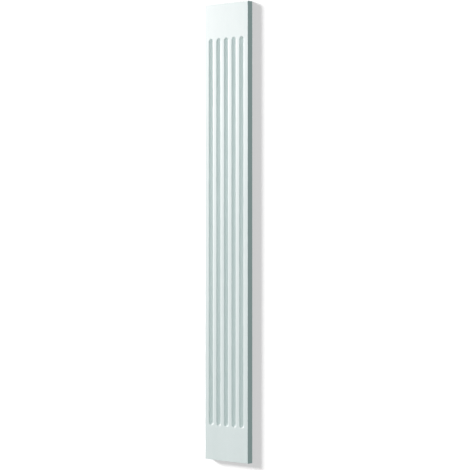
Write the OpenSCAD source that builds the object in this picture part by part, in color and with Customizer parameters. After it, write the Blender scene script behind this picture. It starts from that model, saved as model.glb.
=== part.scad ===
// Fluted wall pilaster: a grooved face board on a doweled back frame, hung on split battens.
// X runs across the width, Z up the height, and the wall is the plane y = 0 with the face towards -Y.
// The origin is on the wall, at the middle of the bottom end.

/* [Body] */
// Height of the pilaster from its bottom end to its top end
height = 2000; // [1200:10:2600]
// Width of the pilaster across its face
width = 250; // [200:1:400]
// Thickness of the fluted face board
face_t = 18; // [16:0.5:25]
// Chamfer that eases the outer edges of the face
arris = 1; // [0.5:0.25:2]

/* [Flutes] */
// Number of flutes side by side
flute_count = 5; // [3:1:6]
// Depth of a flute at its middle
flute_depth = 8.5; // [4:0.5:10]
// Flat land between two flutes
land_w = 16; // [10:0.5:20]
// Flat margin between an outer flute and the edge of the face
margin_w = 20.5; // [14:0.5:26]
// Plain length between the end of the flutes and the end of the face
plain_end = 150; // [60:5:300]

/* [Back frame] */
// Thickness of the stiles and rails
frame_t = 12; // [10:0.5:18]
// Width of a stile
stile_w = 45; // [35:1:60]
// Width of a rail
rail_h = 60; // [50:1:80]
// Diameter of the dowels that join rails to stiles
dowel_d = 6; // [4:0.5:8]
// Length of a dowel, half of it in each piece
dowel_l = 30; // [20:1:40]
// Distance between the two dowels in one rail end
dowel_spacing = 36; // [20:1:40]

/* [Hanging battens] */
// Height of one half of a split batten
batten_h = 50; // [35:1:70]
// Space left between a batten and what it faces when hung
batten_clear = 1; // [0.5:0.25:2]
// Gap between a panel batten and the stile beside it
batten_side_gap = 1; // [0.5:0.5:3]
// Gap between a wall batten and the stile beside it, for shifting the pilaster sideways
wall_side_gap = 8; // [4:1:15]
// Clearance between the bevels of a hung pair
hook_gap = 0.1; // [0.05:0.05:0.3]
// Diameter of the wall screw holes
wall_hole_d = 5; // [4:0.5:7]
// Distance from a wall screw hole to the end of its batten
wall_hole_inset = 27; // [20:1:32]

/* [Screws] */
// Diameter of a screw's shank
screw_d = 3.5; // [3:0.5:4]
// Diameter of a screw's countersunk head
screw_head_d = 7; // [6:0.5:8]
// Length of a screw that goes into the face board
screw_bite = 12; // [8:0.5:13]
// Number of screws up each stile
stile_screws = 7; // [5:1:11]
// Distance from the end screws of a stile to its ends
screw_inset = 40; // [25:1:60]

/* [Hidden] */
$fn = 48;

// Paint and timber colours
paint = [0.93, 0.95, 0.945];
birch = [0.86, 0.74, 0.56];
beech = [0.80, 0.62, 0.44];
zinc = [0.80, 0.80, 0.78];

// Small amount by which a cutter runs past the face that it cuts
past = 1;
// Clearance round a dowel and round a screw, which glue and fibres fill
fit_gap = 0.05;

// Depths from the wall
depth = face_t + frame_t;
y_front = -depth;
y_back_of_face = -frame_t;
batten_t = frame_t - batten_clear;

// Flutes share what the margins and lands leave of the width
flute_w = (width - 2 * margin_w - (flute_count - 1) * land_w) / flute_count;
flute_r = (flute_w * flute_w / 4 + flute_depth * flute_depth) / (2 * flute_depth);
pitch = flute_w + land_w;
flute_x = [for (i = [0:flute_count - 1]) (i - (flute_count - 1) / 2) * pitch];
land_x = [for (i = [0:flute_count - 2]) (i - (flute_count - 2) / 2) * pitch];

// Rails, evenly spaced from the bottom end to the top end
rail_count = 5;
rail_l = width - 2 * stile_w;
rail_step = (height - rail_h) / (rail_count - 1);
rail_z = [for (i = [0:rail_count - 1]) rail_h / 2 + i * rail_step];
outer_land = max([for (x = land_x) if (x < rail_l / 2 - screw_head_d) x]);

// Stile screws stand in the full thickness of the margins
screw_x = width / 2 - margin_w / 2;
screw_step = (height - 2 * screw_inset) / (stile_screws - 1);
screw_z = [for (i = [0:stile_screws - 1]) screw_inset + i * screw_step];
head_h = (screw_head_d - screw_d) / 2;
tip_l = screw_d;
recess_w = screw_d / 4;
recess_l = screw_head_d * 0.55;
recess_d = head_h;

// A hung pair fills the middle of the bay next to each end rail
hook_h = 2 * batten_t - frame_t - hook_gap;
pair_h = 2 * batten_h - hook_h;
bay_mid = rail_z[0] + rail_step / 2;
hook_z_low = bay_mid - pair_h / 2 + batten_h - hook_h;
hook_z_high = height - 2 * bay_mid + hook_z_low;
panel_batten_l = rail_l - 2 * batten_side_gap;
wall_batten_l = rail_l - 2 * wall_side_gap;
wall_hole_x = wall_batten_l / 2 - wall_hole_inset;
batten_screw_x = [for (x = land_x) if (abs(x) < panel_batten_l / 2 - screw_head_d) x];

// A bar along X: a section in y and z, drawn as points [y, z] and centred on x = 0
module bar(section, length) {
  translate([-length / 2, 0, 0])
    rotate([90, 0, 90])
      linear_extrude(length)
        polygon(section);
}

// A hole or pin along Y that starts at [x, y, z] and runs towards -Y
module along_y(x, y, z) {
  translate([x, y, z])
    rotate([90, 0, 0])
      children();
}

// A straight round-bottomed groove with ball ends, as a core-box cutter leaves it
module flute(x) {
  half = height / 2 - plain_end - flute_w / 2;
  translate([x, y_front + flute_depth - flute_r, height / 2]) {
    cylinder(r = flute_r, h = 2 * half, center = true, $fn = 96);
    for (s = [-1, 1])
      translate([0, 0, s * half])
        sphere(r = flute_r, $fn = 96);
  }
}

// Countersunk wood screw with its head at z = 0 and its point towards +z
module screw(length) {
  difference() {
    union() {
      cylinder(d1 = screw_head_d, d2 = screw_d, h = head_h);
      translate([0, 0, head_h])
        cylinder(d = screw_d, h = length - head_h - tip_l);
      translate([0, 0, length - tip_l])
        cylinder(d1 = screw_d, d2 = 0.4, h = tip_l);
    }
    for (turn = [0, 90])
      rotate(turn)
        translate([-recess_l / 2, -recess_w / 2, -past])
          cube([recess_l, recess_w, recess_d + past]);
  }
}

// The hole that a screw stands in, with its countersink
module screw_hole(length) {
  translate([0, 0, -past])
    cylinder(d = screw_d + 2 * fit_gap, h = length + past + fit_gap);
  cylinder(d1 = screw_head_d + 2 * fit_gap, d2 = screw_d + 2 * fit_gap, h = head_h);
}

// Screws or their holes through the back of one stile; side is -1 for the left and 1 for the right
module at_stile_screws(side) {
  for (z = screw_z)
    along_y(side * screw_x, 0, z)
      children();
}

// Screws or their holes through one rail
module at_rail_screws(z) {
  for (s = [-1, 1])
    along_y(s * outer_land, 0, z)
      children();
}

// Screws or their holes through one panel batten whose tip is at height z
module at_batten_screws(z) {
  for (x = batten_screw_x)
    along_y(x, -batten_clear, z + batten_h / 2 + batten_t / 2)
      children();
}

// Dowels or their holes where the rails meet one stile
module at_dowels(side) {
  for (z = rail_z, s = [-1, 1])
    translate([side * rail_l / 2, -frame_t / 2, z + s * dowel_spacing / 2])
      rotate([0, 90, 0])
        children();
}

module dowel() {
  chamfer = dowel_d / 8;
  cylinder(d = dowel_d, h = dowel_l - 2 * chamfer, center = true);
  for (s = [0, 1])
    mirror([0, 0, s])
      translate([0, 0, dowel_l / 2 - chamfer])
        cylinder(d1 = dowel_d, d2 = dowel_d - 2 * chamfer, h = chamfer);
}

module dowel_hole() {
  cylinder(d = dowel_d + 2 * fit_gap, h = dowel_l + 2 * fit_gap, center = true);
}

// Board with flutes in its front and pilot holes in its back
module fluted_face() {
  color(paint)
    difference() {
      intersection() {
        bar([
          [y_front, arris],
          [y_front + arris, 0],
          [y_back_of_face, 0],
          [y_back_of_face, height],
          [y_front + arris, height],
          [y_front, height - arris]
        ], width);
        linear_extrude(height)
          polygon([
            [-width / 2, y_back_of_face],
            [-width / 2, y_front + arris],
            [-width / 2 + arris, y_front],
            [width / 2 - arris, y_front],
            [width / 2, y_front + arris],
            [width / 2, y_back_of_face]
          ]);
      }
      for (x = flute_x)
        flute(x);
      for (side = [-1, 1])
        at_stile_screws(side)
          screw_hole(frame_t + screw_bite);
      for (z = rail_z)
        at_rail_screws(z)
          screw_hole(frame_t + screw_bite);
      for (z = [hook_z_low, hook_z_high])
        at_batten_screws(z)
          screw_hole(batten_t + screw_bite);
    }
}

// Upright of the back frame, with its outer edge flush with the face board
module stile(side) {
  color(birch)
    difference() {
      translate([side > 0 ? width / 2 - stile_w : -width / 2, -frame_t, 0])
        cube([stile_w, frame_t, height]);
      at_dowels(side)
        dowel_hole();
      at_stile_screws(side)
        screw_hole(frame_t + past);
    }
}

// Cross piece of the back frame, between the stiles
module rail(z) {
  color(birch)
    difference() {
      translate([-rail_l / 2, -frame_t, z - rail_h / 2])
        cube([rail_l, frame_t, rail_h]);
      for (side = [-1, 1])
        at_dowels(side)
          dowel_hole();
      at_rail_screws(z)
        screw_hole(frame_t + past);
    }
}

module dowels(side) {
  color(beech)
    at_dowels(side)
      dowel();
}

// Half of a split batten on the pilaster: its bevel hooks down behind the wall half
module panel_batten(z) {
  y_face = -frame_t;
  y_wall = -batten_clear;
  color(birch)
    difference() {
      bar([
        [y_wall, z],
        [y_wall, z + batten_h],
        [y_face, z + batten_h],
        [y_face, z + batten_t]
      ], panel_batten_l);
      at_batten_screws(z)
        screw_hole(batten_t + past);
    }
}

// Half of a split batten on the wall: its bevel opens upwards towards the wall
module wall_batten(z) {
  top = z + hook_h;
  color(birch)
    difference() {
      bar([
        [-batten_t, top],
        [-batten_t, top - batten_h],
        [0, top - batten_h],
        [0, top - batten_t]
      ], wall_batten_l);
      for (s = [-1, 1])
        translate([s * wall_hole_x, 0, top - batten_h / 2 - batten_t / 2])
          rotate([90, 0, 0]) {
            translate([0, 0, -past])
              cylinder(d = wall_hole_d, h = batten_t + 2 * past);
            translate([0, 0, batten_t - wall_hole_d / 2])
              cylinder(d1 = wall_hole_d, d2 = 2 * wall_hole_d, h = wall_hole_d / 2 + 0.001);
          }
    }
}

module stile_screw_set(side) {
  color(zinc)
    at_stile_screws(side)
      screw(frame_t + screw_bite);
}

module rail_screw_set() {
  color(zinc)
    for (z = rail_z)
      at_rail_screws(z)
        screw(frame_t + screw_bite);
}

module batten_screw_set(z) {
  color(zinc)
    at_batten_screws(z)
      screw(batten_t + screw_bite);
}

fluted_face();
stile(-1);  // left_stile
stile(1);  // right_stile
rail(rail_z[4]);  // top_rail
rail(rail_z[3]);  // upper_cross_rail
rail(rail_z[2]);  // middle_cross_rail
rail(rail_z[1]);  // lower_cross_rail
rail(rail_z[0]);  // bottom_rail
dowels(-1);  // left_dowels
dowels(1);  // right_dowels
stile_screw_set(-1);  // left_stile_screws
stile_screw_set(1);  // right_stile_screws
rail_screw_set();  // rail_screws
panel_batten(hook_z_high);  // upper_panel_batten
panel_batten(hook_z_low);  // lower_panel_batten
batten_screw_set(hook_z_high);  // upper_batten_screws
batten_screw_set(hook_z_low);  // lower_batten_screws
wall_batten(hook_z_high);  // upper_wall_batten
wall_batten(hook_z_low);  // lower_wall_batten
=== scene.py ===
import math

import bmesh
import bpy
from mathutils import Matrix, Vector


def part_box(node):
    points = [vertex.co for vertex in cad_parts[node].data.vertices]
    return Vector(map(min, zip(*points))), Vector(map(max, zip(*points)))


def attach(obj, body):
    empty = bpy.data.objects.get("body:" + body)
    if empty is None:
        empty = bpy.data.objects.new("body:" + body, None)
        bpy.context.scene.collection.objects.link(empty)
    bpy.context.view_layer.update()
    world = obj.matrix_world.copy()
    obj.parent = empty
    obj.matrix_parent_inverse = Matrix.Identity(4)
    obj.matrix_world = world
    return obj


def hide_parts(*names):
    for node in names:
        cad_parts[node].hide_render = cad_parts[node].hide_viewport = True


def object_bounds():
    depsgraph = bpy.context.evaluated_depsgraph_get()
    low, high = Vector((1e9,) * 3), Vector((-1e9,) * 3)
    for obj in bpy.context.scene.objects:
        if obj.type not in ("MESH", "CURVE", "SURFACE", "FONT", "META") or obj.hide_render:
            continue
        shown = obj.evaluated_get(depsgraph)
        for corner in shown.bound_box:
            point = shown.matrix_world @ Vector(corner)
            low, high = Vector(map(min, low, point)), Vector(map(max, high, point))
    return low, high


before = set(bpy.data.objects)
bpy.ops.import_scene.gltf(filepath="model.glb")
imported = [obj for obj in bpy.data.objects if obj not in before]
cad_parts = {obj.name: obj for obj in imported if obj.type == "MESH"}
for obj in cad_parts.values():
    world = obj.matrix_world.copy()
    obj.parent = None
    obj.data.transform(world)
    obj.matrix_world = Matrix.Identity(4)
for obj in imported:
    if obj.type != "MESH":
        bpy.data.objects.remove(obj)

cad_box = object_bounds()

# ---------------------------------------------------------------------------------------------------------
# Fluted face board
# One 18 mm board of moisture-resistant MDF. A round-nosed cutter runs the flutes and leaves their round
# ends, every arris is sanded round, and the front, edges and ends are sprayed with satin enamel. The back
# stays bare.
# ---------------------------------------------------------------------------------------------------------
face_low, face_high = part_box("fluted_face")
face_w = face_high.x - face_low.x
face_h = face_high.z - face_low.z
flute_count = 5
flute_depth = 0.0085
land_w = 0.016            # flat strip between two flutes
margin_w = 0.0205         # flat strip beside the outermost flutes
plain_end = 0.150         # flat length above the flutes, and below them
flute_ease = 0.0006       # radius of the sanded edge along a flute
outer_ease = 0.0009       # radius of the sanded edge round the face
wall_steps = 16           # facets from the bottom of a flute to its edge
ease_steps = 4            # facets round a sanded edge
end_steps = 24            # facets round a flute's round end
same_spot = 1e-6          # points closer than this are one

enamel_shade = (0.790, 0.850, 0.840, 1)
enamel_light = (0.825, 0.880, 0.872, 1)
mdf_shade = (0.440, 0.305, 0.185, 1)
mdf_light = (0.560, 0.405, 0.260, 1)
mdf_bark = (0.250, 0.155, 0.090, 1)
paint_relief = 0.00002
paint_edge = 0.0001       # how far in front of the back the paint stops

flute_w = (face_w - 2 * margin_w - (flute_count - 1) * land_w) / flute_count
flute_r = (flute_w ** 2 / 4 + flute_depth ** 2) / (2 * flute_depth)
run_length = face_h - 2 * plain_end - flute_w       # between the centres of a flute's two round ends


def cut_flute(mesh, x):
    """One trough: its section is spun round one end, drawn along the board and spun round the other end."""
    before = set(mesh.verts)
    arc_y = face_low.y + flute_depth - flute_r
    ease_y = face_low.y + flute_ease
    wall_angle = math.acos((ease_y - arc_y) / (flute_r + flute_ease))
    ease_x = (flute_r + flute_ease) * math.sin(wall_angle)
    bottom = mesh.verts.new((0, face_low.y + flute_depth, 0))
    wall_arc = bmesh.ops.spin(mesh, geom=[bottom], cent=(0, arc_y, 0), axis=(0, 0, 1), angle=-wall_angle,
                              steps=wall_steps)
    rim = [v for v in wall_arc["geom_last"] if isinstance(v, bmesh.types.BMVert)]
    bmesh.ops.spin(mesh, geom=rim, cent=(ease_x, ease_y, 0), axis=(0, 0, 1), angle=wall_angle,
                   steps=ease_steps)
    section = [v for v in mesh.verts if v not in before]
    section += list({e for v in section for e in v.link_edges})
    for end, run in ((0, -run_length), (-run_length, run_length)):
        turned = bmesh.ops.spin(mesh, geom=section, cent=(0, 0, end), axis=(0, 1, 0), angle=-math.pi,
                                steps=end_steps)
        edges = [e for e in turned["geom_last"] if isinstance(e, bmesh.types.BMEdge)]
        drawn = bmesh.ops.extrude_edge_only(mesh, edges=edges)["geom"]
        moved = [v for v in drawn if isinstance(v, bmesh.types.BMVert)]
        bmesh.ops.translate(mesh, verts=moved, vec=(0, 0, run))
        section = [g for g in drawn if not isinstance(g, bmesh.types.BMFace)]
    trough = [v for v in mesh.verts if v not in before]
    bmesh.ops.remove_doubles(mesh, verts=trough, dist=same_spot)
    trough = [v for v in mesh.verts if v not in before]
    bmesh.ops.translate(mesh, verts=trough, vec=(x, 0, face_high.z - plain_end - flute_w / 2))


def mesh_object(mesh, name):
    """A finished bmesh as an object at the origin."""
    data = bpy.data.meshes.new(name)
    mesh.to_mesh(data)
    mesh.free()
    piece = bpy.data.objects.new(name, data)
    bpy.context.scene.collection.objects.link(piece)
    return piece


board = bmesh.new()
for i in range(flute_count):
    cut_flute(board, (i - (flute_count - 1) / 2) * (flute_w + land_w))
troughs = list(board.faces)
size = face_high - face_low
middle = (face_high + face_low) / 2
blank = bmesh.ops.create_cube(board, size=1, matrix=Matrix.Translation(middle) @ Matrix.Diagonal((*size, 1)))
front_edges = [e for e in {e for v in blank["verts"] for e in v.link_edges}
               if all(abs(v.co.y - face_low.y) < same_spot for v in e.verts)]
eased = bmesh.ops.bevel(board, geom=front_edges, offset=outer_ease, affect="EDGES", segments=ease_steps,
                        profile=0.5, material=-1)
cut_faces = set(troughs)
front = min((f for f in board.faces if f not in cut_faces and len(f.verts) == 4 and abs(f.normal.y) > 0.99),
            key=lambda f: f.calc_center_median().y)
bmesh.ops.delete(board, geom=[front], context="FACES_ONLY")
openings = [e for e in board.edges if e.is_boundary]
bmesh.ops.triangle_fill(board, use_beauty=True, edges=openings, normal=(0, -1, 0))
for f in troughs + eased["faces"]:
    f.smooth = True
bmesh.ops.recalc_face_normals(board, faces=board.faces)
fluted_board = mesh_object(board, "fluted_board")


def add(tree, kind, inputs=None, **settings):
    """One shader node; inputs, by name or number, hold a value or the output of another node."""
    node = tree.nodes.new("ShaderNode" + kind)
    for name, value in settings.items():
        setattr(node, name, value)
    for key, value in (inputs or {}).items():
        if isinstance(value, bpy.types.NodeSocket):
            tree.links.new(value, node.inputs[key])
        else:
            node.inputs[key].default_value = value
    return node


def sums(tree, operation, *terms):
    """A Math node's result."""
    return add(tree, "Math", dict(enumerate(terms)), operation=operation).outputs[0]


def ramp(tree, value, start, end, low=0.0, high=1.0):
    """low where value is at start, high where it is at end, with an S-curve between."""
    limits = {"Value": value, "From Min": start, "From Max": end, "To Min": low, "To Max": high}
    return add(tree, "MapRange", limits, interpolation_type="SMOOTHSTEP").outputs[0]


def blend(tree, factor, under, over):
    """Colour under, with colour over laid on it where factor is 1."""
    return add(tree, "Mix", {0: factor, 6: under, 7: over}, data_type="RGBA").outputs[2]


def share(tree, factor, under, over):
    """Number under, with number over in its place where factor is 1."""
    kept = sums(tree, "MULTIPLY", under, sums(tree, "SUBTRACT", 1.0, factor))
    return sums(tree, "ADD", kept, sums(tree, "MULTIPLY", over, factor))


def noise(tree, place, lumps, stretch=(1, 1, 1), detail=2.0, distortion=0.0):
    """Noise with so many lumps to the metre, stretched by a factor along each axis."""
    shrunk = add(tree, "Mapping", {"Vector": place, "Scale": [1 / s for s in stretch]}).outputs[0]
    return add(tree, "TexNoise", {"Vector": shrunk, "Scale": lumps, "Detail": detail,
                                  "Distortion": distortion}).outputs["Fac"]


def new_finish(name):
    """An empty material with its tree and the coordinates of the piece."""
    material = bpy.data.materials.new(name)
    material.use_nodes = True
    tree = material.node_tree
    tree.nodes.clear()
    return material, tree, add(tree, "TexCoord").outputs["Object"]


def close_finish(tree, colour, roughness, height, depth, metallic=0.0, specular=0.5):
    """Ends a material: height runs from 0 to 1 and stands for depth metres of relief."""
    bump = add(tree, "Bump", {"Height": height, "Distance": depth, "Strength": 1.0})
    shader = add(tree, "BsdfPrincipled", {"Base Color": colour, "Roughness": roughness,
                                          "Metallic": metallic, "Specular IOR Level": specular,
                                          "Normal": bump.outputs[0]})
    output = add(tree, "OutputMaterial")
    tree.links.new(shader.outputs[0], output.inputs["Surface"])


def enamel(tree, place):
    """Sprayed satin enamel: faint bands from the passes of the gun, orange peel and a few dust nibs."""
    passes = noise(tree, place, lumps=9, stretch=(1, 1, 6), detail=3)
    cloud = noise(tree, place, lumps=45, stretch=(1, 1, 2))
    tone = share(tree, 0.7, cloud, passes)
    colour = blend(tree, ramp(tree, tone, 0.3, 0.7), enamel_shade, enamel_light)
    peel = noise(tree, place, lumps=700)
    to_nib = add(tree, "TexVoronoi", {"Vector": place, "Scale": 55}, feature="F1").outputs["Distance"]
    nib = ramp(tree, to_nib, 0.05, 0.0, high=3.0)
    roughness = ramp(tree, tone, 0.25, 0.75, 0.40, 0.48)
    return colour, roughness, sums(tree, "ADD", peel, nib)


def bare_mdf(tree, place):
    """Sanded MDF: pressed fibres, with no grain, and small darker flecks of bark."""
    fibres = noise(tree, place, lumps=1400, stretch=(1, 1, 2.5), detail=3)
    cloud = noise(tree, place, lumps=25, detail=3)
    flecks = ramp(tree, noise(tree, place, lumps=420, stretch=(1, 1, 2), detail=1), 0.66, 0.74, high=0.4)
    tone = share(tree, 0.7, cloud, fibres)
    colour = blend(tree, ramp(tree, tone, 0.3, 0.7), mdf_shade, mdf_light)
    return blend(tree, flecks, colour, mdf_bark), fibres


painted_mdf, tree, place = new_finish("painted_mdf")
paint, paint_roughness, paint_height = enamel(tree, place)
mdf, mdf_height = bare_mdf(tree, place)
depth_in = add(tree, "SeparateXYZ", {0: place}).outputs["Y"]
bare = sums(tree, "GREATER_THAN", depth_in, face_high.y - paint_edge)
colour = blend(tree, bare, paint, mdf)
roughness = sums(tree, "ADD", paint_roughness, sums(tree, "MULTIPLY", bare, 0.4))
height = share(tree, bare, paint_height, mdf_height)
close_finish(tree, colour, roughness, height, depth=paint_relief)
fluted_board.data.materials.append(painted_mdf)
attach(fluted_board, "panel")
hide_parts("fluted_face")

# ---------------------------------------------------------------------------------------------------------
# Stiles, rails and battens
# All are birch plywood, 12 mm thick in the frame and sanded down to 11 mm in the battens, which so clear what
# they face when hung. The grain runs up the stiles and across the rails and battens. The outer edges were
# sprayed with the face, and a little of the spray caught the back.
# ---------------------------------------------------------------------------------------------------------
frame_low, frame_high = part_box("left_stile")
ply_count = 9
ply_t = (frame_high.y - frame_low.y) / ply_count
grain_stretch = 14        # how much longer than wide the figure of the grain is
overspray_reach = (0.001, 0.006)
sprayed_depth = 0.0002    # how far in from an outer edge a surface still counts as that edge
ply_relief = 0.00006

birch_shade = (0.620, 0.460, 0.285, 1)
birch_light = (0.790, 0.640, 0.450, 1)
birch_fleck = (0.400, 0.240, 0.120, 1)
edge_shade = (0.640, 0.475, 0.295, 1)
edge_light = (0.760, 0.605, 0.415, 1)
end_grain_shade = (0.330, 0.205, 0.110, 1)
end_grain_light = (0.500, 0.345, 0.200, 1)
glue_line = (0.110, 0.060, 0.030, 1)


def birch_face(tree, place, along):
    """Rotary-cut birch: pale, silky, low in contrast, with broad figure, fine fibres and short brown flecks."""
    grain = [grain_stretch if axis == along else 1 for axis in range(3)]
    figure = noise(tree, place, lumps=28, stretch=grain, detail=3, distortion=0.6)
    fibres = noise(tree, place, lumps=900, stretch=[g * 1.6 for g in grain], detail=3)
    fleck_noise = noise(tree, place, lumps=520, stretch=[1 + g * 0.4 for g in grain], detail=1)
    tone = share(tree, 0.65, fibres, figure)
    colour = blend(tree, ramp(tree, tone, 0.32, 0.68), birch_shade, birch_light)
    return blend(tree, ramp(tree, fleck_noise, 0.68, 0.76, high=0.45), colour, birch_fleck), fibres


def ply_edge(tree, place):
    """A sawn edge: light plies that run with it between darker ones cut across, and dark glue lines."""
    layer = sums(tree, "DIVIDE", add(tree, "SeparateXYZ", {0: place}).outputs["Y"], ply_t)
    within = sums(tree, "FRACT", layer)
    crossed = sums(tree, "GREATER_THAN", sums(tree, "FRACT", sums(tree, "MULTIPLY", layer, 0.5)), 0.5)
    pores = noise(tree, place, lumps=1600)
    streaks = noise(tree, place, lumps=260, stretch=(6, 1, 6))
    with_grain = blend(tree, ramp(tree, streaks, 0.35, 0.65), edge_shade, edge_light)
    end_grain = blend(tree, ramp(tree, pores, 0.35, 0.65), end_grain_shade, end_grain_light)
    colour = blend(tree, crossed, with_grain, end_grain)
    off_centre = sums(tree, "ABSOLUTE", sums(tree, "SUBTRACT", within, 0.5))
    return blend(tree, ramp(tree, off_centre, 0.42, 0.48, high=0.7), colour, glue_line), pores


def birch_ply(name, along):
    """Plywood with its face grain along an axis, painted wherever it is an outer edge of the pilaster."""
    material, tree, place = new_finish(name)
    face, face_height = birch_face(tree, place, along)
    edge, edge_height = ply_edge(tree, place)
    paint = enamel(tree, place)[0]
    at = add(tree, "SeparateXYZ", {0: place}).outputs
    facing = add(tree, "SeparateXYZ", {0: add(tree, "TexCoord").outputs["Normal"]}).outputs["Y"]
    flat = sums(tree, "GREATER_THAN", sums(tree, "ABSOLUTE", facing), 0.5)
    in_from_side = sums(tree, "SUBTRACT", face_high.x, sums(tree, "ABSOLUTE", at["X"]))
    in_from_end = sums(tree, "MINIMUM", at["Z"], sums(tree, "SUBTRACT", face_high.z, at["Z"]))
    inwards = sums(tree, "MINIMUM", in_from_side, in_from_end)
    reach = ramp(tree, noise(tree, place, lumps=60, detail=3), 0.3, 0.7, *overspray_reach)
    overspray = ramp(tree, sums(tree, "DIVIDE", inwards, reach), 1.0, 0.1)
    sprayed_edge = sums(tree, "LESS_THAN", inwards, sprayed_depth)
    painted = sums(tree, "MAXIMUM", sums(tree, "MULTIPLY", overspray, flat), sprayed_edge)
    colour = blend(tree, painted, blend(tree, flat, edge, face), paint)
    roughness = ramp(tree, painted, 0.0, 1.0, 0.72, 0.44)
    height = share(tree, flat, edge_height, face_height)
    close_finish(tree, colour, roughness, height, depth=ply_relief, specular=0.35)
    return material


ply_up = birch_ply("birch_ply_grain_up", along=2)
ply_across = birch_ply("birch_ply_grain_across", along=0)
for name in ("left_stile", "right_stile"):
    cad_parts[name].data.materials[0] = ply_up
for name in ("top_rail", "upper_cross_rail", "middle_cross_rail", "lower_cross_rail", "bottom_rail",
             "upper_panel_batten", "lower_panel_batten", "upper_wall_batten", "lower_wall_batten"):
    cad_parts[name].data.materials[0] = ply_across

# ---------------------------------------------------------------------------------------------------------
# Dowels
# Turned beech, glued into both pieces at each end of every rail, so they are hidden once the frame is
# together.
# ---------------------------------------------------------------------------------------------------------
beech_shade = (0.430, 0.255, 0.135, 1)
beech_light = (0.600, 0.400, 0.240, 1)
beech_ray = (0.290, 0.150, 0.075, 1)
beech_relief = 0.00004

beech, tree, place = new_finish("turned_beech")
rays = ramp(tree, noise(tree, place, lumps=700, stretch=(5, 1, 1), detail=1), 0.62, 0.72, high=0.6)
fibres = noise(tree, place, lumps=1100, stretch=(12, 1, 1), detail=3)
colour = blend(tree, ramp(tree, fibres, 0.3, 0.7), beech_shade, beech_light)
close_finish(tree, blend(tree, rays, colour, beech_ray), 0.62, fibres, depth=beech_relief, specular=0.4)
for name in ("left_dowels", "right_dowels"):
    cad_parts[name].data.materials[0] = beech

# ---------------------------------------------------------------------------------------------------------
# Screws
# Countersunk steel wood screws, bright zinc plated, driven flush from the back. Handling has dulled the
# plating in patches.
# ---------------------------------------------------------------------------------------------------------
zinc_shade = (0.560, 0.570, 0.570, 1)
zinc_light = (0.720, 0.725, 0.700, 1)
zinc_relief = 0.00001

zinc, tree, place = new_finish("bright_zinc")
frosting = noise(tree, place, lumps=2600)
handling = noise(tree, place, lumps=300, detail=3)
colour = blend(tree, ramp(tree, handling, 0.3, 0.7), zinc_shade, zinc_light)
roughness = ramp(tree, handling, 0.25, 0.75, 0.26, 0.44)
close_finish(tree, colour, roughness, frosting, depth=zinc_relief, metallic=1.0)
for name in ("left_stile_screws", "right_stile_screws", "rail_screws", "upper_batten_screws",
             "lower_batten_screws"):
    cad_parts[name].data.materials[0] = zinc

# ---------------------------------------------------------------------------------------------------------
# Floor, wall, light and camera
# Only the camera sees the white wall and the pale floor, each from its front only, so they hide nothing from
# behind. A key light stands on the left, a little above the top, with a broad fill in front, a weak light
# below, a soft one behind, and a light like the sun that throws the shadow on the wall.
# ---------------------------------------------------------------------------------------------------------
floor_z = -0.22
floor_half = 60.0
wall_half = 12.0
wall_gap = 0.0005         # between the object's back and the wall that the shadow falls on
dusty = 0.98              # how dark the dust on the floor and the wall is


def stage_finish(name, colour, shine):
    """A matt surface with a glow of its own, seen from its front only and clear from behind."""
    material, tree, place = new_finish(name)
    faint = [c * dusty for c in colour] + [1]
    dust = blend(tree, noise(tree, place, lumps=3), faint, [*colour, 1])
    lit = add(tree, "BsdfDiffuse", {"Color": dust}).outputs[0]
    glow = add(tree, "Emission", {"Color": [*shine, 1], "Strength": 1.0}).outputs[0]
    front_side = add(tree, "AddShader", {0: lit, 1: glow}).outputs[0]
    back_side = add(tree, "BsdfTransparent").outputs[0]
    behind = add(tree, "NewGeometry").outputs["Backfacing"]
    one_way = add(tree, "MixShader", {0: behind, 1: front_side, 2: back_side}).outputs[0]
    tree.links.new(one_way, add(tree, "OutputMaterial").inputs["Surface"])
    return material


def stage_plane(name, half, place, material):
    """A square sheet for the camera alone, half its side to each side of the middle of its place."""
    mesh = bmesh.new()
    bmesh.ops.create_grid(mesh, x_segments=1, y_segments=1, size=half, matrix=place)
    sheet = mesh_object(mesh, name)
    sheet.data.materials.append(material)
    sheet.visible_diffuse = False
    sheet.visible_glossy = False
    sheet.visible_shadow = False
    return sheet


pale = stage_finish("pale_floor", (0.51, 0.52, 0.52), (0.76, 0.76, 0.76))
floor = stage_plane("floor", floor_half, Matrix.Translation((0, 0, floor_z)), pale)
white = stage_finish("white_wall", (0.90, 0.90, 0.90), (0.405, 0.350, 0.356))
wall_middle = Matrix.Translation((0, cad_box[1][1] + wall_gap, floor_z + wall_half))
wall = stage_plane("wall", wall_half, wall_middle @ Matrix.Rotation(math.radians(90), 4, "X"), white)

only_the_wall = bpy.data.collections.new("only_the_wall")
only_the_wall.objects.link(wall)
all_but_the_stage = bpy.data.collections.new("all_but_the_stage")
for place_in_list, sheet in enumerate((floor, wall)):
    all_but_the_stage.objects.link(sheet)
    all_but_the_stage.collection_objects[place_in_list].light_linking.link_state = "EXCLUDE"


def towards(azimuth, elevation):
    """The direction azimuth degrees to the right of straight in front and elevation degrees up."""
    a = math.radians(azimuth)
    e = math.radians(elevation)
    return Vector((math.sin(a) * math.cos(e), -math.cos(a) * math.cos(e), math.sin(e)))


def hang_light(light, direction, lit, spot=Vector((0, 0, 0))):
    """Puts a light at a spot, where it shines from a direction on the collection lit and on nothing else."""
    holder = bpy.data.objects.new(light.name, light)
    bpy.context.scene.collection.objects.link(holder)
    holder.location = spot
    holder.rotation_euler = direction.to_track_quat("Z", "Y").to_euler()
    holder.light_linking.receiver_collection = lit


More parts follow.
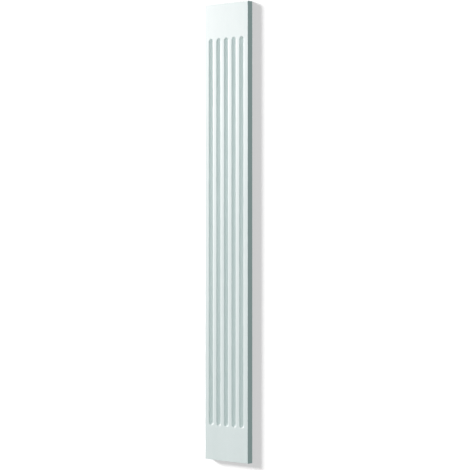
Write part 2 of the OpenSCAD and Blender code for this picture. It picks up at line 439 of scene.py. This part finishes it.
def lamp(name, height, azimuth, elevation, distance, size, watts, colour):
    """A round soft light that faces the pilaster at a height, from a distance, and leaves the stage alone."""
    light = bpy.data.lights.new(name, "AREA")
    light.shape = "DISK"
    light.size = size
    light.energy = watts
    light.color = colour
    direction = towards(azimuth, elevation)
    hang_light(light, direction, all_but_the_stage, Vector((0, 0, height)) + direction * distance)


lamp("key", height=0.8, azimuth=-64, elevation=20, distance=5.0, size=0.35, watts=222,
     colour=(1.0, 0.880, 0.895))
lamp("fill", height=1.0, azimuth=0, elevation=10, distance=5.0, size=2.0, watts=68,
     colour=(0.94, 1.0, 1.0))
lamp("low", height=0.0, azimuth=-20, elevation=-20, distance=3.0, size=1.0, watts=8,
     colour=(1.0, 0.90, 0.90))
lamp("rear", height=1.0, azimuth=-160, elevation=30, distance=5.0, size=3.0, watts=220,
     colour=(1.0, 0.97, 0.95))
wall_wash = bpy.data.lights.new("wall_wash", "SUN")
wall_wash.energy = 4.6
wall_wash.angle = math.radians(15)
hang_light(wall_wash, towards(azimuth=-65, elevation=20), only_the_wall)

world = bpy.data.worlds.new("room")
bpy.context.scene.world = world
world.use_nodes = True
tree = world.node_tree
tree.nodes.clear()
ambient = add(tree, "Background", {"Color": (0.79, 1.0, 0.985, 1), "Strength": 0.293}).outputs[0]
backdrop = add(tree, "Background", {"Color": (0.93, 0.95, 0.95, 1), "Strength": 0.95}).outputs[0]
seen = add(tree, "LightPath").outputs["Is Camera Ray"]
sky = add(tree, "MixShader", {0: seen, 1: ambient, 2: backdrop}).outputs[0]
tree.links.new(sky, add(tree, "OutputWorld").inputs["Surface"])

view_azimuth = 42.0
near_edge = Vector((face_high.x, face_low.y, 0))
near_edge_depth = 7.817       # from the camera to the near front edge, along the line of sight
near_edge_offset = 0.0551     # from that line to the near front edge
eye_height = 1.042
tilt = math.radians(0.389)    # below level
ahead = -towards(view_azimuth, 0)
right = Vector((ahead.y, -ahead.x, 0))
camera_data = bpy.data.cameras.new("camera")
camera_data.sensor_width = 36.0
camera_data.lens = 138.7
camera = bpy.data.objects.new("camera", camera_data)
bpy.context.scene.collection.objects.link(camera)
camera.location = near_edge - right * near_edge_offset - ahead * near_edge_depth
camera.location.z = eye_height
look = ahead * math.cos(tilt) - Vector((0, 0, math.sin(tilt)))
camera.rotation_euler = look.to_track_quat("-Z", "Y").to_euler()
bpy.context.scene.camera = camera
bpy.context.scene.view_settings.view_transform = "Standard"
